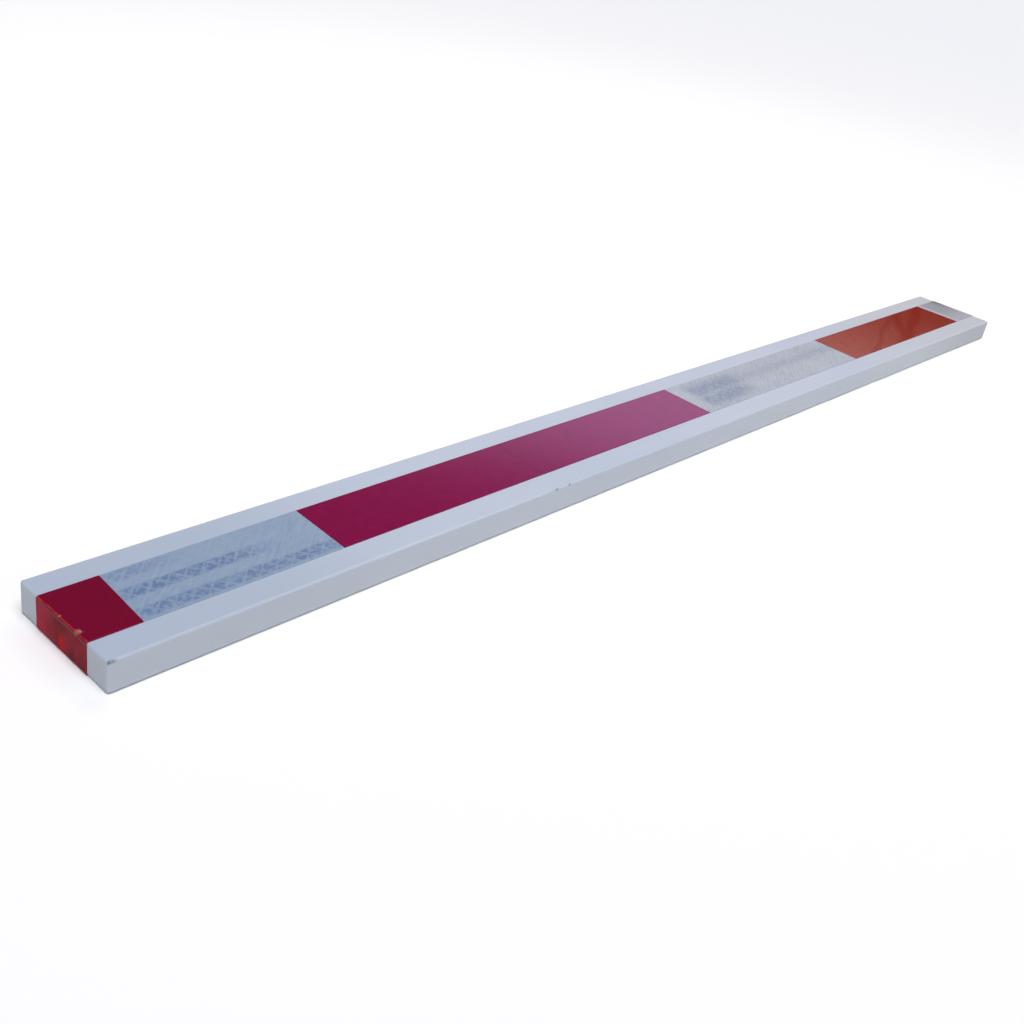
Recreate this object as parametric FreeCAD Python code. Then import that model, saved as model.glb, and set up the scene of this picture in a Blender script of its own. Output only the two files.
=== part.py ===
import FreeCAD, Part
import os

# A parking gate's arm: one solid painted board with reflective tape along the middle of both wide
# faces. Millimetres. X runs from the tip (-X) to the butt (+X), which the gate holds. Z is up, the
# arm lies on its underside tape at Z = 0, and the origin is the middle of that lowest face.

# The board
BOARD_LENGTH = 1143.0       # 45 in, tip to butt
BOARD_WIDTH = 88.9          # 3 1/2 in, a planed 1x4
BOARD_THICKNESS = 20.6      # 13/16 in
CORNER_RADIUS = 1.8         # the four upright corners
EDGE_RADIUS = 1.2           # the eased edges all round both wide faces

# The tape
TAPE_WIDTH = 50.8           # 2 in
TAPE_THICKNESS = 0.5        # prismatic film and its adhesive
TAPE_OFF_CENTRE = 0.7       # laid this far from the board's centre line, towards +Y

# Pieces of tape from the tip to the butt, measured on the tape's centre line. The piece before
# the butt wrap takes up the length that is left.
TIP_WRAP_LENGTH = 35.0
SILVER_SHORT_LENGTH = 138.5
RED_LONG_LENGTH = 406.4     # 16 in, the usual stripe of a gate arm
SILVER_LONG_LENGTH = 267.0
BUTT_WRAP_LENGTH = 47.0

# How much nearer to the butt each hand-made cut is at the tape's +Y edge than at its -Y edge
TIP_WRAP_SKEW = 3.6
SILVER_SHORT_SKEW = 2.5
RED_LONG_SKEW = 1.3
SILVER_LONG_SKEW = 2.8
RED_SHORT_SKEW = -0.5

# Planes and edges that follow from those sizes
TIP_X = -BOARD_LENGTH / 2
BUTT_X = BOARD_LENGTH / 2
BOARD_BOTTOM = TAPE_THICKNESS
BOARD_MIDDLE = BOARD_BOTTOM + BOARD_THICKNESS / 2
TAPE_FRONT = TAPE_OFF_CENTRE - TAPE_WIDTH / 2
TAPE_BACK = TAPE_OFF_CENTRE + TAPE_WIDTH / 2


def edges_along(shape, axis):
    """The straight edges of a box that run along one axis, given as a unit vector."""
    return [edge for edge in shape.Edges if abs(edge.tangentAt(edge.FirstParameter).dot(axis)) > 0.99]


def make_board():
    """The board, with its upright corners rounded and then the edges of both wide faces eased."""
    corner = FreeCAD.Vector(TIP_X, -BOARD_WIDTH / 2, BOARD_BOTTOM)
    board = Part.makeBox(BOARD_LENGTH, BOARD_WIDTH, BOARD_THICKNESS, corner)
    board = board.makeFillet(CORNER_RADIUS, edges_along(board, FreeCAD.Vector(0, 0, 1)))
    faces = [face for face in board.Faces if abs(face.normalAt(0, 0).z) > 0.99]
    rims = [edge for face in faces for edge in face.Edges]
    return board.makeFillet(EDGE_RADIUS, rims)


def lengthwise_core(margin):
    """The board's outline seen from the side, grown by a margin, as deep as the tape is wide."""
    length = BOARD_LENGTH + 2 * margin
    height = BOARD_THICKNESS + 2 * margin
    corner = FreeCAD.Vector(-length / 2, TAPE_FRONT, BOARD_MIDDLE - height / 2)
    core = Part.makeBox(length, TAPE_WIDTH, height, corner)
    return core.makeFillet(EDGE_RADIUS + margin, edges_along(core, FreeCAD.Vector(0, 1, 0)))


def tape_cuts():
    """Each cut across the tape: where it crosses the centre line, and its skew."""
    after_tip = TIP_X + TIP_WRAP_LENGTH
    after_silver = after_tip + SILVER_SHORT_LENGTH
    after_red = after_silver + RED_LONG_LENGTH
    after_long_silver = after_red + SILVER_LONG_LENGTH
    before_butt = BUTT_X - BUTT_WRAP_LENGTH
    return [
        (after_tip, TIP_WRAP_SKEW),
        (after_silver, SILVER_SHORT_SKEW),
        (after_red, RED_LONG_SKEW),
        (after_long_silver, SILVER_LONG_SKEW),
        (before_butt, RED_SHORT_SKEW),
    ]


def slab_between(near_cut, far_cut):
    """A block as deep as the tape is wide, from one skewed cut to the next, through the board."""
    (near_x, near_skew), (far_x, far_skew) = near_cut, far_cut
    corners = [
        FreeCAD.Vector(near_x - near_skew / 2, TAPE_FRONT, -BOARD_THICKNESS),
        FreeCAD.Vector(far_x - far_skew / 2, TAPE_FRONT, -BOARD_THICKNESS),
        FreeCAD.Vector(far_x + far_skew / 2, TAPE_BACK, -BOARD_THICKNESS),
        FreeCAD.Vector(near_x + near_skew / 2, TAPE_BACK, -BOARD_THICKNESS),
    ]
    outline = Part.Face(Part.makePolygon(corners + corners[:1]))
    return outline.extrude(FreeCAD.Vector(0, 0, 3 * BOARD_THICKNESS))


def make_tape():
    """One closed band of tape round the board's length, cut into its coloured pieces."""
    band = lengthwise_core(TAPE_THICKNESS).cut(lengthwise_core(0.0))
    past_tip = (TIP_X - BOARD_THICKNESS, 0.0)
    past_butt = (BUTT_X + BOARD_THICKNESS, 0.0)
    cuts = [past_tip] + tape_cuts() + [past_butt]
    colours = ["tip_wrap_red", "silver_short", "red_long", "silver_long", "red_short", "butt_wrap_silver"]
    pieces = {}
    for name, near_cut, far_cut in zip(colours, cuts, cuts[1:]):
        films = band.common(slab_between(near_cut, far_cut)).Solids
        if len(films) == 1:
            pieces[name] = films[0]
        else:
            under, top = sorted(films, key=lambda film: film.CenterOfMass.z)
            pieces["top_tape_" + name] = top
            pieces["under_tape_" + name] = under
    return pieces


def write_parts():
    """One STEP file per piece, named after it."""
    os.makedirs("parts", exist_ok=True)
    nodes = {"arm_board": make_board()}
    nodes.update(make_tape())
    for name, shape in nodes.items():
        solid = shape.Solids[0]
        solid.exportStep(os.path.join("parts", name + ".step"))
        print(name, "valid" if solid.isValid() else "NOT VALID", round(solid.Volume, 1), "mm3")


write_parts()
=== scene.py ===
import math

import bmesh
import bpy
import numpy as np
from mathutils import Euler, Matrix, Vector, noise


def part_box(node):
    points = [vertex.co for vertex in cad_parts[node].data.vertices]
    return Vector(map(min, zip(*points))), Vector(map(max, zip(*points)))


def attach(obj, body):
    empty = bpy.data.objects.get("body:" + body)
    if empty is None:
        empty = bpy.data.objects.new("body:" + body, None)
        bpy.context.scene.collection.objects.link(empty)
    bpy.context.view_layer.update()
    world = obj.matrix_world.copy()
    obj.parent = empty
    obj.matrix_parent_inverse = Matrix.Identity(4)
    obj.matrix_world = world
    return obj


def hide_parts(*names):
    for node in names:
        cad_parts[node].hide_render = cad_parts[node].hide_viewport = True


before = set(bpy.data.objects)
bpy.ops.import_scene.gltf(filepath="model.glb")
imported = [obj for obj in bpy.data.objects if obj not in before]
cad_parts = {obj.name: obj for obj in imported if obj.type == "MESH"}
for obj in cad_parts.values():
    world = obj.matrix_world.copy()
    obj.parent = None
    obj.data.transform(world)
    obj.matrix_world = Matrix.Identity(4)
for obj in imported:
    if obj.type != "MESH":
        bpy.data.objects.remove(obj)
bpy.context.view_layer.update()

# A parking gate's arm, in metres: a painted board with prismatic tape along both wide faces. The
# tip is at -X and the butt at +X. Tape is made flat, in its own s, t and h (along it, across it and
# away from the board), and then laid on the board.
MM = 0.001

CORNER_RADIUS = 1.8 * MM     # the board's four upright corners
EDGE_RADIUS = 1.2 * MM       # its eased edges
FILM_EASE = 0.12 * MM        # how much a cut edge of film rounds over
FILM_CORNER = 0.4 * MM

# How much nearer to the butt each cut across the tape is at its +Y end
TIP_WRAP_SKEW = 3.6 * MM
SILVER_SHORT_SKEW = 2.5 * MM
RED_LONG_SKEW = 1.3 * MM
SILVER_LONG_SKEW = 2.8 * MM
RED_SHORT_SKEW = -0.5 * MM

# A faint line across the long red piece. It leans the way the cuts do, but more.
JOINT_FROM_TIP = 362.5 * MM
JOINT_LEAN = 0.1             # how far along it moves for each step across

# The diamond cells sealed into the film, and how far they stand up from their seams
CELL_LENGTH = 11.3 * MM
CELL_ROWS = 4
SEAM = 0.32 * MM             # half the flat seam between two cells
SILVER_RISE = 0.04 * MM
RED_RISE = 0.01 * MM

board_low, board_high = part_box("arm_board")
red_low, red_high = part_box("top_tape_red_long")
TAPE_WIDTH = red_high.y - red_low.y
TAPE_MIDDLE = (red_high.y + red_low.y) / 2
FILM = red_high.z - board_high.z


# ---------------------------------------------------------------- node trees

def add(tree, kind, inputs=None, **settings):
    """Adds a node with its settings. An input is given by name or number, as a value or a socket."""
    made = tree.nodes.new(kind)
    for name, value in settings.items():
        setattr(made, name, value)
    for key, value in (inputs or {}).items():
        socket = made.inputs[key]
        if isinstance(value, bpy.types.NodeSocket):
            tree.links.new(value, socket)
        else:
            socket.default_value = value
    return made


def linear(hex_colour):
    """An sRGB hex value as linear red, green, blue and alpha."""
    channels = [int(hex_colour[i:i + 2], 16) / 255 for i in (1, 3, 5)]
    return [c / 12.92 if c <= 0.04045 else ((c + 0.055) / 1.055) ** 2.4 for c in channels] + [1.0]


def new_finish(name):
    """A material with an empty Principled shader: its tree and the shader."""
    finish = bpy.data.materials.new(name)
    finish.use_nodes = True
    finish.node_tree.nodes.clear()
    shader = add(finish.node_tree, "ShaderNodeBsdfPrincipled")
    add(finish.node_tree, "ShaderNodeOutputMaterial", {"Surface": shader.outputs[0]})
    return finish, finish.node_tree, shader


def blend(tree, factor, first, second):
    """One colour turning into another."""
    return add(tree, "ShaderNodeMix", {0: factor, 6: first, 7: second}, data_type="RGBA").outputs[2]


def calc(tree, operation, *values):
    """One step of arithmetic on values or sockets."""
    return add(tree, "ShaderNodeMath", dict(enumerate(values)), operation=operation).outputs[0]


def ramp(tree, value, low, high, to_low=0.0, to_high=1.0):
    """Eases from one value to another as its input goes from low to high."""
    inputs = {"Value": value, "From Min": low, "From Max": high, "To Min": to_low, "To Max": to_high}
    return add(tree, "ShaderNodeMapRange", inputs, interpolation_type="SMOOTHSTEP").outputs[0]


def speckle(tree, vector, grain, stretch=(1, 1, 1), turn=0.0, detail=3.0):
    """Noise from 0 to 1 with grains of one size, so many times longer along an axis. A turn, in
    radians, slants them about Z."""
    inputs = {"Vector": vector, "Rotation": (0, 0, turn), "Scale": stretch}
    placed = add(tree, "ShaderNodeMapping", inputs, vector_type="TEXTURE").outputs[0]
    inputs = {"Vector": placed, "Scale": 1 / grain, "Detail": detail}
    return add(tree, "ShaderNodeTexNoise", inputs).outputs[0]


def relief(tree, height, depth):
    """A bump as deep as its height's full swing, in metres."""
    inputs = {"Height": height, "Strength": 1.0, "Distance": depth}
    return add(tree, "ShaderNodeBump", inputs).outputs[0]


# ---------------------------------------------------------------- finishes

def paint_colour(tree, place, x, strokes, matt):
    """Cool white in two close shades. It is greyer at the tip and warmer towards the butt, where the
    narrow faces are greyer too. These are painted shade and painted light: they stand in for how
    light and sheen fall along the arm and on its narrow faces."""
    clouds = speckle(tree, place, 110 * MM)
    paint = blend(tree, ramp(tree, clouds, 0.35, 0.65), linear("#B9C1CC"), linear("#BDC4CD"))
    paint = blend(tree, ramp(tree, strokes, 0.35, 0.75, 0.0, 0.07), paint, linear("#A9B1BB"))
    # Painted shade: the tip end is greyed, for the less light and sheen that reach it.
    painted_tip_shade = ramp(tree, x, board_low.x + 90 * MM, board_low.x + 240 * MM, 0.85, 0.0)
    paint = blend(tree, painted_tip_shade, paint, linear("#ACB5C1"))
    # Painted light: the butt end is lighter and warmer, for more light and sheen falling there.
    painted_butt_light = ramp(tree, x, board_high.x - 330 * MM, board_high.x - 60 * MM, 0.0, 0.8)
    paint = blend(tree, painted_butt_light, paint, linear("#C4C5C6"))
    # Painted shade: the narrow faces are greyer, and more so towards the butt.
    paint = blend(tree, calc(tree, "MULTIPLY", matt, 0.6), paint, linear("#B6BABD"))
    painted_side_shade = ramp(tree, x, board_high.x - 200 * MM, board_high.x - 20 * MM, 0.0, 0.75)
    return blend(tree, calc(tree, "MULTIPLY", matt, painted_side_shade), paint, linear("#A9ADB3"))


def dirty_where_knocked(tree, place, paint):
    """Grey dirt in each dent. Its grit is well under 1 mm and is drawn at 1.4 mm, so that it shows."""
    wear = add(tree, "ShaderNodeAttribute", attribute_name="wear").outputs["Fac"]
    grit = speckle(tree, place, 1.4 * MM)
    dirt = blend(tree, ramp(tree, grit, 0.35, 0.65), linear("#5A5E60"), linear("#7E8282"))
    return blend(tree, wear, paint, dirt)


def brushed_white_paint():
    """Exterior paint on softwood: satin on the wide faces and matt on the narrow ones, where the wood
    drinks it, with faint lengthwise brush marks."""
    finish, tree, shader = new_finish("brushed_white_paint")
    place = add(tree, "ShaderNodeTexCoord").outputs["Object"]
    split = add(tree, "ShaderNodeSeparateXYZ", {0: place})
    x, z = split.outputs[0], split.outputs[2]
    # A brush leaves marks about 1 mm apart. They are drawn 3.3 mm apart, so that they show.
    strokes = speckle(tree, place, 3.3 * MM, stretch=(60, 1, 1))
    half = (board_high.z - board_low.z) / 2
    from_middle = calc(tree, "ABSOLUTE", calc(tree, "SUBTRACT", z, board_low.z + half))
    # The narrow faces are matt, and paint_colour also paints them greyer there as shade.
    matt = ramp(tree, from_middle, half - 1.0 * MM, half - 0.1 * MM, 1.0, 0.0)
    paint = dirty_where_knocked(tree, place, paint_colour(tree, place, x, strokes, matt))
    tree.links.new(paint, shader.inputs["Base Color"])
    satin = ramp(tree, strokes, 0.3, 0.7, 0.23, 0.27)
    tree.links.new(calc(tree, "MULTIPLY_ADD", matt, 0.4, satin), shader.inputs["Roughness"])
    tree.links.new(calc(tree, "MULTIPLY_ADD", matt, -0.4, 0.5), shader.inputs["Specular IOR Level"])
    tree.links.new(relief(tree, strokes, 0.0012 * MM), shader.inputs["Normal"])
    shader.inputs["IOR"].default_value = 1.5
    return finish


def film_place(tree):
    """Where a point is on the film: the flat s and t that its UV map holds, in metres."""
    flat = add(tree, "ShaderNodeUVMap", uv_map="flat").outputs[0]
    split = add(tree, "ShaderNodeSeparateXYZ", {0: flat})
    return flat, split.outputs[0], split.outputs[1]


def dark_rows(tree, s, t, rows):
    """Lengthwise rows on film, from 0 to 1. Each has its middle, its half width, how sharp its sides
    are, where it begins and ends, what is left of it past its end, and how strong it is."""
    in_row = 0.0
    for middle, half, sharp, begins, ends, left, strong in rows:
        off = calc(tree, "ABSOLUTE", calc(tree, "SUBTRACT", t, middle))
        one = ramp(tree, off, sharp * half, (2 - sharp) * half, strong, 0.0)
        one = calc(tree, "MULTIPLY", one, ramp(tree, s, begins - 2 * MM, begins + 12 * MM))
        one = calc(tree, "MULTIPLY", one, ramp(tree, s, ends - 18 * MM, ends + 22 * MM, 1.0, left))
        in_row = calc(tree, "MAXIMUM", one, in_row)
    return in_row


def silver_film(name, light, dark, rows, strength, even, hatch):
    """Silver microprism film under a clear layer: cool grey, faintly hatched, with rows of prisms
    that look darker. strength is how dark the rows get, even is how little their shade varies, and
    hatch is how much the fine slanting lines show."""
    finish, tree, shader = new_finish(name)
    flat, s, t = film_place(tree)
    # The dark marks are about 3 mm, and come and go in patches of about 18 mm.
    specks = speckle(tree, flat, 3.0 * MM, stretch=(1.3, 1, 1), turn=0.7, detail=1)
    uneven = ramp(tree, specks, 0.33, 0.62, even, 1.0)
    patches = speckle(tree, flat, 18 * MM, stretch=(2, 1, 1), turn=0.7)
    patchy = ramp(tree, patches, 0.3, 0.5, 0.7, 1.0)
    shade = calc(tree, "MULTIPLY", calc(tree, "MULTIPLY", uneven, patchy), strength)
    shade = calc(tree, "MULTIPLY", dark_rows(tree, s, t, rows), shade)
    # The prisms are a few tenths of a millimetre. Their lines are drawn 2.1 mm wide, to show.
    clouds = ramp(tree, speckle(tree, flat, 45 * MM), 0.3, 0.7, 0.3, 1.0)
    lines = speckle(tree, flat, 2.1 * MM, stretch=(7, 1, 1), turn=0.72)
    prisms = ramp(tree, lines, 0.35, 0.7, 0.0, hatch)
    colour = blend(tree, calc(tree, "MULTIPLY", clouds, prisms), linear(light), linear(dark))
    colour = blend(tree, shade, colour, linear(dark))
    tree.links.new(colour, shader.inputs["Base Color"])
    tree.links.new(relief(tree, prisms, 0.02 * MM), shader.inputs["Normal"])
    shader.inputs["Roughness"].default_value = 0.24
    shader.inputs["Metallic"].default_value = 0.12
    shader.inputs["IOR"].default_value = 1.5
    return finish


def slanting_streaks(tree, flat, streaks):
    """Soft streaks over film, from 0 to 1. Each has its angle to the tape in degrees, how far from
    the flat origin it passes, its half width and its strength. They wander a few millimetres."""
    wander = speckle(tree, flat, 33 * MM, stretch=(3, 1, 1), turn=0.34, detail=1)
    wander = ramp(tree, wander, 0.25, 0.75, -3 * MM, 3 * MM)
    dull_and_painted_shade = 0.0
    for angle, middle, half, strength in streaks:
        across = (math.sin(math.radians(angle)), -math.cos(math.radians(angle)), 0)
        off = add(tree, "ShaderNodeVectorMath", {0: flat, 1: across},
                  operation="DOT_PRODUCT").outputs["Value"]
        off = calc(tree, "ABSOLUTE", calc(tree, "SUBTRACT", calc(tree, "ADD", off, wander), middle))
        dull_and_painted_shade = calc(tree, "MAXIMUM", ramp(tree, off, 0.1 * half, 1.6 * half, strength, 0.0), dull_and_painted_shade)
    return dull_and_painted_shade


def joint_line(tree, s, t, joint):
    """A hairline across film, leaning."""
    off = calc(tree, "SUBTRACT", calc(tree, "MULTIPLY_ADD", t, -JOINT_LEAN, s), joint)
    return ramp(tree, calc(tree, "ABSOLUTE", off), 0.2 * MM, 0.6 * MM, 0.4, 0.0)


def red_film(name, near, far, start, end, streaks=(), joint=None):
    """Red microprism film under a clear layer: a transparent red over silver prisms. Its colour drifts
    from one end to the other, a painted part of the sheen that the clear layer throws back. Its
    streaks are duller, and painted browner as the shade of the sheen that they lose."""
    finish, tree, shader = new_finish(name)
    flat, s, t = film_place(tree)
    # Painted sheen: the colour drifts along the piece the way the sheen thrown back changes along it.
    colour = blend(tree, ramp(tree, s, start, end), linear(near), linear(far))
    if streaks:
        dull_and_painted_shade = slanting_streaks(tree, flat, streaks)
        # Painted shade: the streaks are browner where they lose sheen; their specular level is lowered
        # too.
        colour = blend(tree, dull_and_painted_shade, colour, linear("#841A02"))
        less_shine = calc(tree, "MULTIPLY_ADD", dull_and_painted_shade, -0.32, 0.5)
        tree.links.new(less_shine, shader.inputs["Specular IOR Level"])
    if joint is not None:
        colour = blend(tree, joint_line(tree, s, t, joint), colour, linear("#450826"))
    # The shade varies from cell to cell. The prisms inside a cell are too fine to show.
    fine = speckle(tree, flat, CELL_LENGTH, detail=2)
    colour = blend(tree, ramp(tree, fine, 0.35, 0.7, 0.0, 0.14), colour, linear("#5E0A1C"))
    tree.links.new(colour, shader.inputs["Base Color"])
    shader.inputs["Roughness"].default_value = 0.13
    shader.inputs["IOR"].default_value = 1.5
    return finish


def fold_shaded_silver_film(fold):
    """The silver film that goes over the butt: greyer, and darker towards the fold, most of all on
    one side. This darkening, from the lighter band by the cut to the darkest part at the fold, is
    painted shade where the film turns over the butt."""
    finish, tree, shader = new_finish("fold_shaded_silver_film")
    flat, s, t = film_place(tree)
    # The prisms' lines are drawn 2.4 mm wide, to show.
    lines = speckle(tree, flat, 2.4 * MM, stretch=(7, 1, 1), turn=0.8)
    fine = ramp(tree, lines, 0.35, 0.7, 0.0, 0.2)
    # Painted shade: lighter by the cut, and greyer towards the +Y side.
    grey = blend(tree, ramp(tree, t, -20 * MM, 4 * MM), linear("#ADAEB3"), linear("#9A9B9E"))
    colour = blend(tree, ramp(tree, s, 3 * MM, 10 * MM), linear("#BABBC0"), grey)
    colour = blend(tree, fine, colour, linear("#8F9094"))
    # Painted shade: darkest just before the fold, most of all towards the +Y side.
    to_side = ramp(tree, t, -2 * MM, 23 * MM, 0.0, 0.85)
    rubbed = calc(tree, "MULTIPLY", ramp(tree, s, fold - 20 * MM, fold), to_side)
    colour = blend(tree, rubbed, colour, linear("#6B6C70"))
    tree.links.new(colour, shader.inputs["Base Color"])
    shader.inputs["Roughness"].default_value = 0.34
    shader.inputs["Metallic"].default_value = 0.1
    shader.inputs["IOR"].default_value = 1.5
    return finish


def scuffed_face(tree, t, blotches):
    """The end face's browner reds, in blotches of about 9 mm, paler towards one side."""
    scuffed = blend(tree, ramp(tree, blotches, 0.3, 0.66), linear("#671C1E"), linear("#86222F"))
    pale = ramp(tree, t, 4 * MM, 20 * MM, 0.0, 0.75)
    return blend(tree, pale, scuffed, linear("#A62840"))


def painted_glint(tree, s, t, blotches, face_middle):
    """One ragged spot on the end face whose prisms still throw light back, painted as a glint, from 0 to
    1.
    """
    down = calc(tree, "DIVIDE", calc(tree, "SUBTRACT", s, face_middle + 4.6 * MM), 6.0 * MM)
    sideways = calc(tree, "DIVIDE", calc(tree, "ADD", t, 1.2 * MM), 3.8 * MM)
    off = calc(tree, "ADD", calc(tree, "POWER", down, 2.0), calc(tree, "POWER", sideways, 2.0))
    off = calc(tree, "ADD", off, ramp(tree, blotches, 0.3, 0.7, -0.3, 0.3))
    return ramp(tree, off, 0.1, 1.4, 0.85, 0.0)


def painted_fold_highlight(tree, flat, s, fold, colour):
    """A painted highlight and painted shade on the bend: a broken orange line that wanders, with a dark
    one below it, for the light that the curved film throws back and the shade just past it.
    """
    wander = ramp(tree, speckle(tree, flat, 6.2 * MM), 0.2, 0.8, -0.25 * MM, 0.25 * MM)
    from_fold = calc(tree, "SUBTRACT", calc(tree, "ADD", s, wander), fold)
    below = calc(tree, "ABSOLUTE", calc(tree, "SUBTRACT", from_fold, 1.1 * MM))
    # Painted shade: the dark line just past the fold.
    dark = ramp(tree, below, 0.1 * MM, 0.7 * MM, 0.55, 0.0)
    colour = blend(tree, dark, colour, linear("#3A0A10"))
    # Painted highlight: the broken orange line along the fold.
    bright = ramp(tree, calc(tree, "ABSOLUTE", from_fold), 0.15 * MM, 0.6 * MM, 1.0, 0.0)
    broken = ramp(tree, speckle(tree, flat, 7.7 * MM), 0.3, 0.6, 0.3, 0.8)
    return blend(tree, calc(tree, "MULTIPLY", bright, broken), colour, linear("#B8301F"))


def folded_red_film(fold, face_middle):
    """Red film bent over the tip: glossy on top, with a painted highlight and shade line on the bend,
    painted highlights on its side edges and in a spot on the end face, rubbed through to the board at
    a chip, and blotched and scuffed down the end face."""
    finish, tree, shader = new_finish("folded_red_film")
    flat, s, t = film_place(tree)
    # Scratches and bared wood grain are under 1 mm. They are drawn at 3.3 mm, so that they show.
    fine = speckle(tree, flat, 3.3 * MM)
    blotches = speckle(tree, flat, 9 * MM, stretch=(1.8, 1, 1), detail=2)
    colour = blend(tree, ramp(tree, fine, 0.3, 0.7, 0.0, 0.4), linear("#750C2B"), linear("#6C0A28"))
    # Painted highlight: the film's side edges are painted lighter, for their lit cut edges.
    side = TAPE_WIDTH / 2
    edge = ramp(tree, calc(tree, "ABSOLUTE", t), side - 0.6 * MM, side - 0.1 * MM, 0.0, 0.5)
    colour = blend(tree, edge, colour, linear("#962050"))
    on_face = ramp(tree, s, fold + 1.0 * MM, fold + 2.2 * MM)
    colour = blend(tree, on_face, colour, scuffed_face(tree, t, blotches))
    # Painted glint: the spot is painted bright red.
    spot = painted_glint(tree, s, t, blotches, face_middle)
    colour = blend(tree, spot, colour, linear("#B81220"))
    colour = painted_fold_highlight(tree, flat, s, fold, colour)
    chip = add(tree, "ShaderNodeAttribute", attribute_name="wear").outputs["Fac"]
    wood = blend(tree, ramp(tree, fine, 0.4, 0.6), linear("#9E5A4A"), linear("#C79C80"))
    colour = blend(tree, chip, colour, wood)
    tree.links.new(colour, shader.inputs["Base Color"])
    tree.links.new(relief(tree, fine, 0.03 * MM), shader.inputs["Normal"])
    tree.links.new(ramp(tree, s, fold, fold + 2 * MM, 0.16, 0.6), shader.inputs["Roughness"])
    tree.links.new(ramp(tree, s, fold, fold + 2 * MM, 0.5, 0.04), shader.inputs["Specular IOR Level"])
    shader.inputs["IOR"].default_value = 1.5
    return finish


# ---------------------------------------------------------------- meshes

def stops(low, high, fine, coarse, focus=()):
    """Places along a side, close together near its ends and each focus, and wide apart elsewhere."""
    widening = 0.35
    marks = [low, high, *focus]
    places = [low]
    while places[-1] < high:
        gap = min(abs(places[-1] - mark) for mark in marks)
        places.append(places[-1] + min(coarse, fine + widening * gap))
    places = np.array(places)
    return low + (places - low) * (high - low) / (places[-1] - low)


def skin_of_box(along, across, up):
    """The outer faces of a block divided at the given places: points and four-sided faces."""
    index, points, quads = {}, [], []

    def point(i, j, k):
        if (i, j, k) not in index:
            index[(i, j, k)] = len(points)
            points.append((along[i], across[j], up[k]))
        return index[(i, j, k)]

    last = [len(along) - 1, len(across) - 1, len(up) - 1]
    for axis in range(3):
        one, two = (axis + 1) % 3, (axis + 2) % 3
        for side in (0, last[axis]):
            for a in range(last[one]):
                for b in range(last[two]):
                    corners = []
                    for step_a, step_b in ((0, 0), (1, 0), (1, 1), (0, 1)):
                        place = [0, 0, 0]
                        place[axis], place[one], place[two] = side, a + step_a, b + step_b
                        corners.append(point(*place))
                    quads.append(corners if side else corners[::-1])
    return np.array(points), quads


def eased(points, corner, ease):
    """Rounds a block: its upright corners in plan, and then every edge of its two wide faces."""
    low, high = points.min(0), points.max(0)
    core = points.copy()
    core[:, 2] = np.clip(core[:, 2], low[2] + ease, high[2] - ease)
    inner = np.clip(points[:, :2], low[:2] + corner, high[:2] - corner)
    out = points[:, :2] - inner
    reach = np.linalg.norm(out, axis=1, keepdims=True)
    core[:, :2] = inner + out * np.minimum(1.0, (corner - ease) / np.maximum(reach, 1e-9))
    away = points - core
    return core + away * ease / np.linalg.norm(away, axis=1, keepdims=True)


def finished(name, points, faces, finishes, flat=None, wear=None):
    """An object from points and faces, smooth and facing outwards, with its finishes."""
    mesh = bpy.data.meshes.new(name)
    mesh.from_pydata([tuple(p) for p in points], [], [tuple(f) for f in faces])
    if flat is not None:
        layer = mesh.uv_layers.new(name="flat")
        corners = np.zeros(len(mesh.loops), int)
        mesh.loops.foreach_get("vertex_index", corners)
        layer.data.foreach_set("uv", flat[corners].astype(np.float32).ravel())
    if wear is not None:
        mesh.attributes.new("wear", "FLOAT", "POINT").data.foreach_set("value", wear.astype(np.float32))
    for finish in finishes:
        mesh.materials.append(finish)
    shell = bmesh.new()
    shell.from_mesh(mesh)
    bmesh.ops.recalc_face_normals(shell, faces=shell.faces)
    shell.to_mesh(mesh)
    shell.free()
    mesh.shade_smooth()
    piece = bpy.data.objects.new(name, mesh)
    bpy.context.scene.collection.objects.link(piece)
    return piece


def knock(points, centre, radius, depth, inwards, seed):
    """Presses a ragged dent into points. Returns how worn each point is, from 0 to 1."""
    away = points - np.array(centre)
    rough = np.array([noise.noise(Vector(a) / (0.45 * radius) + Vector((seed, 0, 0))) for a in away])
    near = 1 - np.linalg.norm(away, axis=1) / (radius * (1 + 0.45 * rough))
    near = np.clip(near, 0, 1)
    points += np.array(inwards) * (depth * near ** 0.7)[:, None]
    return np.clip(near * 1.5, 0, 1)


# ---------------------------------------------------------------- the board

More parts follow.
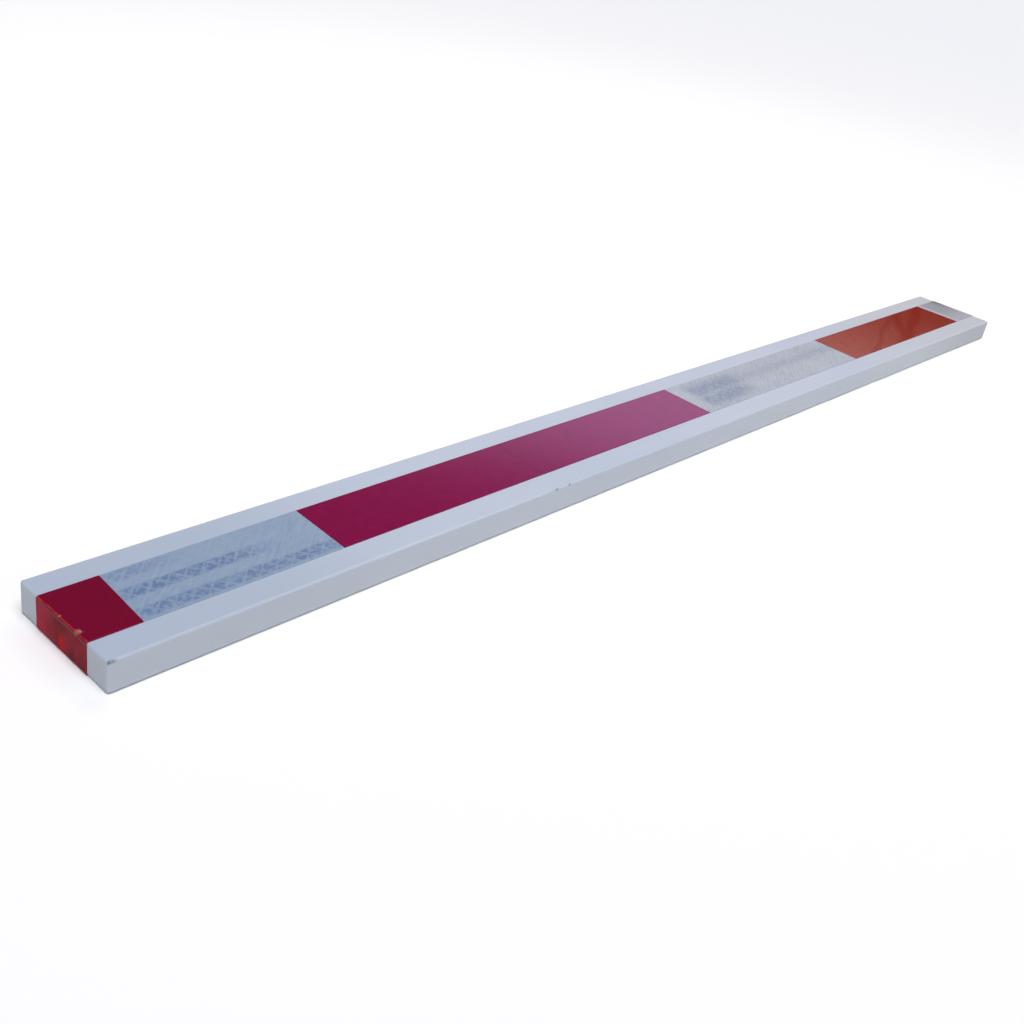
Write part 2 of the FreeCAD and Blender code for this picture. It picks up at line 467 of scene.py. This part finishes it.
def make_board():
    """The painted board, with knocked corners at the tip and the butt and two nicks in one edge."""
    tip, front, bottom = board_low
    butt, back, top = board_high
    nicks = [tip + 353.7 * MM, tip + 367.3 * MM]
    along = stops(tip, butt, 0.3 * MM, 9 * MM, focus=nicks)
    across = stops(front, back, 0.3 * MM, 3.5 * MM)
    up = stops(bottom, top, 0.3 * MM, 1.6 * MM)
    points, quads = skin_of_box(along, across, up)
    points = eased(points, CORNER_RADIUS, EDGE_RADIUS)
    wear = np.zeros(len(points))
    # Each knock has its place, its radius, its depth and the way that it was pressed.
    knocks = [
        ((tip + 1.2 * MM, front + 0.4 * MM, top - 0.4 * MM), 1.7 * MM, 0.3 * MM, (0.3, 0.6, -0.7)),
        ((tip + 3.2 * MM, front + 0.3 * MM, top - 0.5 * MM), 1.5 * MM, 0.15 * MM, (0.0, 0.7, -0.7)),
        ((tip + 0.4 * MM, front + 0.4 * MM, top - 2.6 * MM), 0.9 * MM, 0.1 * MM, (0.7, 0.7, 0)),
        ((tip + 0.4 * MM, back - 0.4 * MM, top - 0.3 * MM), 1.2 * MM, 0.15 * MM, (0.5, -0.5, -0.7)),
        ((nicks[0], front + 0.2 * MM, top - 0.6 * MM), 1.3 * MM, 0.25 * MM, (0, 0.7, -0.7)),
        ((nicks[0] - 1.8 * MM, front + 0.1 * MM, top - 1.0 * MM), 1.0 * MM, 0.12 * MM, (0, 0.7, -0.7)),
        ((nicks[1], front + 0.2 * MM, top - 0.5 * MM), 1.4 * MM, 0.45 * MM, (0, 0.7, -0.7)),
        ((butt - 0.5 * MM, front + 0.5 * MM, top - 0.6 * MM), 2.6 * MM, 0.3 * MM, (-0.5, 0.5, -0.7)),
        ((butt - 0.5 * MM, back - 0.5 * MM, bottom + 0.5 * MM), 2.4 * MM, 0.3 * MM, (-0.5, -0.5, 0.7)),
    ]
    for seed, (centre, radius, depth, inwards) in enumerate(knocks):
        wear = np.maximum(wear, knock(points, centre, radius, depth, inwards, seed * 7.3))
    return finished("painted_board", points, quads, [brushed_white_paint()], wear=wear)


# ---------------------------------------------------------------- the tape

def staggered_spots(tree, get, long_pitch, cross_pitch):
    """The cells' middles: a grid of points to the strip's edges, and another halfway between them."""
    corners = add(tree, "GeometryNodeMeshGrid", {
        "Size X": get["Length"], "Size Y": get["Width"],
        "Vertices X": calc(tree, "ADD", get["Cells Along"], 1),
        "Vertices Y": calc(tree, "ADD", get["Cells Across"], 1)}).outputs[0]
    middles = add(tree, "GeometryNodeMeshGrid", {
        "Size X": calc(tree, "SUBTRACT", get["Length"], long_pitch),
        "Size Y": calc(tree, "SUBTRACT", get["Width"], cross_pitch),
        "Vertices X": get["Cells Along"], "Vertices Y": get["Cells Across"]}).outputs[0]
    both = add(tree, "GeometryNodeJoinGeometry", {0: corners})
    tree.links.new(middles, both.inputs[0])
    return add(tree, "GeometryNodeMeshToPoints", {"Mesh": both.outputs[0]}).outputs[0]


def one_cell(tree, get, long_pitch, cross_pitch):
    """A low diamond with its foot sunk into the film, sloping sides and a smaller crown on top."""
    depth = calc(tree, "ADD", get["Sink"], get["Rise"])
    diamond = add(tree, "GeometryNodeMeshCylinder", {"Vertices": 4, "Radius": 1.0, "Depth": depth})
    half_long = calc(tree, "SUBTRACT", calc(tree, "MULTIPLY", long_pitch, 0.5), get["Seam"])
    half_cross = calc(tree, "SUBTRACT", calc(tree, "MULTIPLY", cross_pitch, 0.5), get["Seam"])
    size = add(tree, "ShaderNodeCombineXYZ", {0: half_long, 1: half_cross, 2: 1.0}).outputs[0]
    lift = calc(tree, "MULTIPLY", calc(tree, "SUBTRACT", get["Rise"], get["Sink"]), 0.5)
    raised = add(tree, "ShaderNodeCombineXYZ", {2: lift}).outputs[0]
    cell = add(tree, "GeometryNodeTransform", {
        "Geometry": diamond.outputs["Mesh"], "Scale": size, "Translation": raised}).outputs[0]
    cell = add(tree, "GeometryNodeScaleElements", {
        "Geometry": cell, "Selection": diamond.outputs["Top"], "Scale": 0.8}).outputs[0]
    upward = add(tree, "ShaderNodeCombineXYZ", {2: get["Crown"]}).outputs[0]
    crown = add(tree, "GeometryNodeExtrudeMesh", {
        "Mesh": cell, "Selection": diamond.outputs["Top"], "Offset": upward, "Offset Scale": 1.0})
    return add(tree, "GeometryNodeScaleElements", {
        "Geometry": crown.outputs["Mesh"], "Selection": crown.outputs["Top"], "Scale": 0.55}).outputs[0]


def kept_on_strip(tree, get, cells):
    """Moves whatever stands out past the strip's edges back to them."""
    far = add(tree, "ShaderNodeCombineXYZ", {
        0: calc(tree, "MULTIPLY", get["Length"], 0.5),
        1: calc(tree, "MULTIPLY", get["Width"], 0.5), 2: 1.0}).outputs[0]
    near = add(tree, "ShaderNodeVectorMath", {0: far, 1: (-1, -1, -1)}, operation="MULTIPLY").outputs[0]
    here = add(tree, "GeometryNodeInputPosition").outputs[0]
    here = add(tree, "ShaderNodeVectorMath", {0: here, 1: far}, operation="MINIMUM").outputs[0]
    here = add(tree, "ShaderNodeVectorMath", {0: here, 1: near}, operation="MAXIMUM").outputs[0]
    return add(tree, "GeometryNodeSetPosition", {"Geometry": cells, "Position": here}).outputs[0]


def cell_tree():
    """Diamond cells in staggered rows over a flat strip, clipped at its edges: the tree, and the
    identifier of each input."""
    tree = bpy.data.node_groups.new("reflector_cells", "GeometryNodeTree")
    given = {}
    for name, kind in (("Length", "Float"), ("Width", "Float"), ("Cells Along", "Int"),
                       ("Cells Across", "Int"), ("Seam", "Float"), ("Sink", "Float"),
                       ("Rise", "Float"), ("Crown", "Float"), ("Finish", "Material")):
        made = tree.interface.new_socket(name, in_out="INPUT", socket_type="NodeSocket" + kind)
        given[name] = made.identifier
    tree.interface.new_socket("Cells", in_out="OUTPUT", socket_type="NodeSocketGeometry")
    get = add(tree, "NodeGroupInput").outputs
    long_pitch = calc(tree, "DIVIDE", get["Length"], get["Cells Along"])
    cross_pitch = calc(tree, "DIVIDE", get["Width"], get["Cells Across"])
    spots = staggered_spots(tree, get, long_pitch, cross_pitch)
    cell = one_cell(tree, get, long_pitch, cross_pitch)
    rows = add(tree, "GeometryNodeInstanceOnPoints", {"Points": spots, "Instance": cell}).outputs[0]
    loose = add(tree, "GeometryNodeRealizeInstances", {"Geometry": rows}).outputs[0]
    clipped = kept_on_strip(tree, get, loose)
    done = add(tree, "GeometryNodeSetMaterial", {"Geometry": clipped, "Material": get["Finish"]})
    add(tree, "NodeGroupOutput", {0: done.outputs[0]})
    return tree, given


CELL_TREE, CELL_INPUTS = cell_tree()


def cells_for(length, width, rise, finish):
    """The cells of one piece of film as points and faces, flat, with the strip's middle at zero. The
    crown is the top fifth of a cell's rise."""
    holder = bpy.data.objects.new("cells", bpy.data.meshes.new("cells"))
    bpy.context.scene.collection.objects.link(holder)
    pattern = holder.modifiers.new("cells", "NODES")
    pattern.node_group = CELL_TREE
    values = {"Length": length, "Width": width, "Cells Along": max(2, round(length / CELL_LENGTH)),
              "Cells Across": CELL_ROWS, "Seam": SEAM, "Sink": 0.1 * FILM,
              "Rise": 0.8 * rise, "Crown": 0.2 * rise, "Finish": finish}
    for name, value in values.items():
        pattern[CELL_INPUTS[name]] = value
    seen = bpy.context.evaluated_depsgraph_get()
    plain = bpy.data.meshes.new_from_object(holder.evaluated_get(seen))
    points = np.zeros(len(plain.vertices) * 3)
    plain.vertices.foreach_get("co", points)
    faces = [list(face.vertices) for face in plain.polygons]
    holder.modifiers.clear()
    bpy.data.objects.remove(holder)
    bpy.data.meshes.remove(plain)
    return points.reshape(-1, 3), faces


def on_top(s, t, h):
    """Lays flat film on the top face."""
    return np.stack([s, TAPE_MIDDLE + t, board_high.z + h], axis=1)


def underneath(s, t, h):
    """Lays flat film on the bottom face."""
    return np.stack([s, TAPE_MIDDLE + t, board_low.z - h], axis=1)


def round_the_end(end, cut):
    """How film goes from a cut on the top face over one end to the same cut underneath: the way to
    lay it, its whole length, and where along it the two bends start."""
    out = math.copysign(1.0, end)
    leg = abs(end - cut) - EDGE_RADIUS
    bend = EDGE_RADIUS * math.pi / 2
    drop = board_high.z - board_low.z - 2 * EDGE_RADIUS
    hub = end - out * EDGE_RADIUS

    def lay(s, t, h):
        turned = np.clip((s - leg) / EDGE_RADIUS, 0, math.pi / 2)
        turned += np.clip((s - leg - bend - drop) / EDGE_RADIUS, 0, math.pi / 2)
        run = np.minimum(s, leg) - np.maximum(s - leg - 2 * bend - drop, 0) - leg
        fall = np.clip(s - leg - bend, 0, drop)
        reach = EDGE_RADIUS + h
        x = hub + out * (run + reach * np.sin(turned))
        z = board_high.z - EDGE_RADIUS - fall + reach * np.cos(turned)
        return np.stack([x, TAPE_MIDDLE + t, z], axis=1)

    return lay, 2 * leg + 2 * bend + drop, (leg, leg + bend + drop)


def slanted(points, start, end, start_skew, end_skew):
    """Gives a square-cut strip its skewed ends: both cuts lean with how far across a point is."""
    share = (points[:, 0] - start) / (end - start)
    lean = points[:, 1] / TAPE_WIDTH
    moved = points.copy()
    moved[:, 0] += lean * (start_skew * (1 - share) + end_skew * share)
    return moved


def sheet(start, end, thickness, bends=()):
    """The film itself, flat: a thin strip whose cut edges round over, fine where it will bend."""
    edge_step = 0.06 * MM
    along = stops(start, end, edge_step, 1.5 * MM if bends else 3.0 * MM)
    if bends:
        arc = EDGE_RADIUS * math.pi / 2
        close = [np.arange(bend - 1.5 * MM, bend + arc + 1 * MM, 0.28 * MM) for bend in bends]
        along = np.unique(np.concatenate([along, *close]))
    across = stops(-TAPE_WIDTH / 2, TAPE_WIDTH / 2, edge_step, 0.5 * MM if bends else 2.4 * MM)
    up = np.array([0, FILM_EASE, thickness - FILM_EASE, thickness - 0.3 * FILM_EASE, thickness])
    points, quads = skin_of_box(along, across, up)
    return eased(points, FILM_CORNER, FILM_EASE), quads


def lay_film(name, node, start, end, skews, lay, finishes, rise=None, bends=(), chips=()):
    """One piece of tape, made flat and laid on the board. With a rise it carries raised cells."""
    thickness = FILM if rise is None else FILM - rise
    points, faces = sheet(start, end, thickness, bends)
    sheet_faces = len(faces)
    if rise is not None:
        cells, cell_faces = cells_for(end - start - 2 * FILM_EASE, TAPE_WIDTH - 2 * FILM_EASE,
                                      rise, finishes[1])
        cells += np.array([(start + end) / 2, 0, thickness])
        faces = faces + [[len(points) + i for i in face] for face in cell_faces]
        points = np.concatenate([points, cells])
    wear = np.zeros(len(points))
    for seed, (place, radius, depth) in enumerate(chips):
        wear = np.maximum(wear, knock(points, place, radius, depth, (0, 0, -1), 3.1 + seed))
    points = slanted(points, start, end, *skews)
    flat = points[:, :2].copy()
    placed = lay(points[:, 0], points[:, 1], points[:, 2])
    piece = finished(name, placed, faces, finishes, flat=flat, wear=wear)
    for face in piece.data.polygons[sheet_faces:]:
        face.material_index = 1
        face.use_smooth = False
    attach(piece, "root")
    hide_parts(node)


def make_tip_wrap():
    """The red piece that goes over the tip, with a large and a small chip near its fold."""
    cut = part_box("tip_wrap_red")[1].x - abs(TIP_WRAP_SKEW) / 2
    lay, length, bends = round_the_end(board_low.x, cut)
    fold = bends[0] + 0.55 * EDGE_RADIUS
    chips = [((fold - 0.9 * MM, -14.6 * MM, FILM), 2.5 * MM, 0.25 * MM),
             ((fold - 0.3 * MM, 2.6 * MM, FILM), 0.6 * MM, 0.1 * MM)]
    lay_film("tip_wrap_film", "tip_wrap_red", 0.0, length,
             (-TIP_WRAP_SKEW, TIP_WRAP_SKEW), lay, [folded_red_film(fold, length / 2)],
             bends=bends, chips=chips)


def make_butt_wrap():
    """The silver piece that goes over the butt."""
    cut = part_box("butt_wrap_silver")[0].x + abs(RED_SHORT_SKEW) / 2
    lay, length, bends = round_the_end(board_high.x, cut)
    lay_film("butt_wrap_film", "butt_wrap_silver", 0.0, length,
             (RED_SHORT_SKEW, -RED_SHORT_SKEW), lay, [fold_shaded_silver_film(bends[0])], bends=bends)


def short_silver():
    """The short silver piece's seams and cells: three rows of dark marks, each longer than the last."""
    tip = board_low.x
    rows = [(19.4 * MM, 5 * MM, 0.7, tip + 30 * MM, tip + 74 * MM, 0.0, 0.55),
            (1.4 * MM, 5 * MM, 0.7, tip + 30 * MM, tip + 126 * MM, 0.0, 1.0),
            (-18.4 * MM, 5 * MM, 0.7, tip + 30 * MM, tip + 168 * MM, 0.5, 0.95)]
    cells = silver_film("silver_cells", "#97A8BA", "#6B82A3", rows, 1.0, 0.4, 0.35)
    seams = silver_film("silver_seams", "#98A9BA", "#788CA8", rows, 0.68, 0.45, 0.35)
    return [seams, cells]


def long_silver():
    """The long silver piece's seams and cells: a soft dark patch near its start, and a fainter line
    that goes on from it."""
    tip = board_low.x
    rows = [(8.0 * MM, 10 * MM, 0.1, tip + 592 * MM, tip + 672 * MM, 0.2, 1.0),
            (-10.0 * MM, 9.5 * MM, 0.1, tip + 590 * MM, tip + 664 * MM, 0.0, 1.0),
            (6.5 * MM, 6 * MM, 0.1, tip + 592 * MM, tip + 640 * MM, 0.45, 1.0)]
    cells = silver_film("worn_silver_cells", "#B7BDC2", "#808FA2", rows, 0.9, 0.55, 0.4)
    seams = silver_film("worn_silver_seams", "#B7BDC2", "#818FA2", rows, 0.9, 0.55, 0.4)
    return [seams, cells]


def long_red():
    """The long red piece's seams and cells: crimson, with a faint line across."""
    low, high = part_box("top_tape_red_long")
    joint = board_low.x + JOINT_FROM_TIP
    cells = red_film("crimson_cells", "#801140", "#85185C", low.x, high.x, joint=joint)
    seams = red_film("crimson_seams", "#801141", "#85185C", low.x, high.x, joint=joint)
    return [seams, cells]


def short_red():
    """The second red piece's seams and cells: more orange, with three slanting streaks."""
    low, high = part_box("top_tape_red_short")
    streaks = [(20.1, 132.9 * MM, 2.5 * MM, 0.6), (35.8, 248.3 * MM, 6.5 * MM, 0.9),
               (19.5, 152 * MM, 8 * MM, 0.95)]
    cells = red_film("faded_red_cells", "#933627", "#89260F", low.x, high.x, streaks)
    seams = red_film("faded_red_seams", "#943728", "#8A2710", low.x, high.x, streaks)
    return [seams, cells]


def make_tape():
    """All the tape: a red wrap at the tip, a silver one at the butt, and the same run of pieces
    between them on both faces."""
    make_tip_wrap()
    make_butt_wrap()
    run = [
        ("silver_short", "silver_film", (TIP_WRAP_SKEW, SILVER_SHORT_SKEW), short_silver(), SILVER_RISE),
        ("red_long", "red_film", (SILVER_SHORT_SKEW, RED_LONG_SKEW), long_red(), RED_RISE),
        ("silver_long", "silver_film", (RED_LONG_SKEW, SILVER_LONG_SKEW), long_silver(), SILVER_RISE),
        ("red_short", "warm_red_film", (SILVER_LONG_SKEW, RED_SHORT_SKEW), short_red(), RED_RISE),
    ]
    for side, way in (("top", on_top), ("under", underneath)):
        for kind, slot, skews, finishes, rise in run:
            node = side + "_tape_" + kind
            low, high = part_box(node)
            start, end = low.x + abs(skews[0]) / 2, high.x - abs(skews[1]) / 2
            lay_film(node + "_film", node, start, end, skews, way, finishes, rise)


# ---------------------------------------------------------------- the studio

def make_floor():
    """A pale floor, so wide that its edge is far off in a low view too. It lies 0.1 mm below the
    tape, so that the two don't touch."""
    half = 90.0
    corners = [(x, y, -0.1 * MM) for x, y in ((-half, -half), (half, -half), (half, half), (-half, half))]
    mesh = bpy.data.meshes.new("floor")
    mesh.from_pydata(corners, [], [(0, 1, 2, 3)])
    finish, _, shader = new_finish("pale_floor")
    shader.inputs["Base Color"].default_value = linear("#FCF7EE")
    shader.inputs["Roughness"].default_value = 0.9
    shader.inputs["Specular IOR Level"].default_value = 0.1
    mesh.materials.append(finish)
    floor = bpy.data.objects.new("floor", mesh)
    bpy.context.scene.collection.objects.link(floor)


def make_overhead():
    """A wide soft light, almost straight above."""
    sun = bpy.data.lights.new("overhead", "SUN")
    sun.energy = 2.8
    sun.angle = math.radians(40)
    sun.color = linear("#EAF1FF")[:3]
    lamp = bpy.data.objects.new("overhead", sun)
    lamp.rotation_euler = Euler((math.radians(15), math.radians(-4), 0))
    bpy.context.scene.collection.objects.link(lamp)


def make_warm_panel():
    """A weak warm panel that faces down, high up and half a metre behind the butt end of the arm."""
    panel = bpy.data.lights.new("warm_panel", "AREA")
    panel.energy = 6.0
    panel.size = 0.9
    panel.color = linear("#FFEFD2")[:3]
    lamp = bpy.data.objects.new("warm_panel", panel)
    lamp.location = (0.5, 0.5, 1.3)
    bpy.context.scene.collection.objects.link(lamp)


def make_room():
    """A room that is bright towards the tip's front corner. Across from it the room is dark, but for
    a low band of windows that the film throws back. Looked at past the floor's edge, the room is a
    plain pale backdrop."""
    bright_side = (-0.65, -0.76, 0)
    room = bpy.data.worlds.new("studio")
    room.use_nodes = True
    tree = room.node_tree
    tree.nodes.clear()
    way = add(tree, "ShaderNodeTexCoord").outputs["Generated"]
    height = add(tree, "ShaderNodeSeparateXYZ", {0: way}).outputs[2]
    facing = add(tree, "ShaderNodeVectorMath", {0: way, 1: bright_side},
                 operation="DOT_PRODUCT").outputs["Value"]
    sill = ramp(tree, height, 0.28, 0.36)
    head = ramp(tree, height, 0.365, 0.465, 2.05, 0.0)
    windows = calc(tree, "MULTIPLY", sill, head)
    glass = blend(tree, ramp(tree, height, 0.28, 0.4), linear("#FFE0C2"), linear("#EEDFFF"))
    wall = blend(tree, windows, linear("#060708"), glass)
    room_colour = blend(tree, ramp(tree, facing, 0.0, 0.5), wall, linear("#BCC0CB"))
    looked_at = add(tree, "ShaderNodeLightPath").outputs["Is Camera Ray"]
    room_colour = blend(tree, looked_at, room_colour, linear("#F1F1F4"))
    back = add(tree, "ShaderNodeBackground", {"Color": room_colour, "Strength": 1.0})
    add(tree, "ShaderNodeOutputWorld", {"Surface": back.outputs[0]})
    bpy.context.scene.world = room


def make_camera():
    """Past the tip's front corner and 0.4 m up, looking down along the arm, and tilted a little."""
    looking_down, heading, tilt = math.radians(28.876), math.radians(52.543), math.radians(10.8)
    lens = bpy.data.cameras.new("camera")
    lens.lens = 41.55
    lens.clip_end = 300
    camera = bpy.data.objects.new("camera", lens)
    camera.location = (-0.82954, -0.47664, 0.40808)
    turn = Euler((math.radians(90) - looking_down, 0, -heading)).to_matrix()
    roll = Euler((0, 0, tilt)).to_matrix()
    camera.rotation_euler = (turn @ roll).to_euler()
    bpy.context.scene.collection.objects.link(camera)
    bpy.context.scene.camera = camera
    bpy.context.scene.view_settings.view_transform = "Standard"


make_camera()
make_overhead()
make_warm_panel()
make_room()
make_floor()
painted_board = make_board()
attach(painted_board, "root")
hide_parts("arm_board")
make_tape()
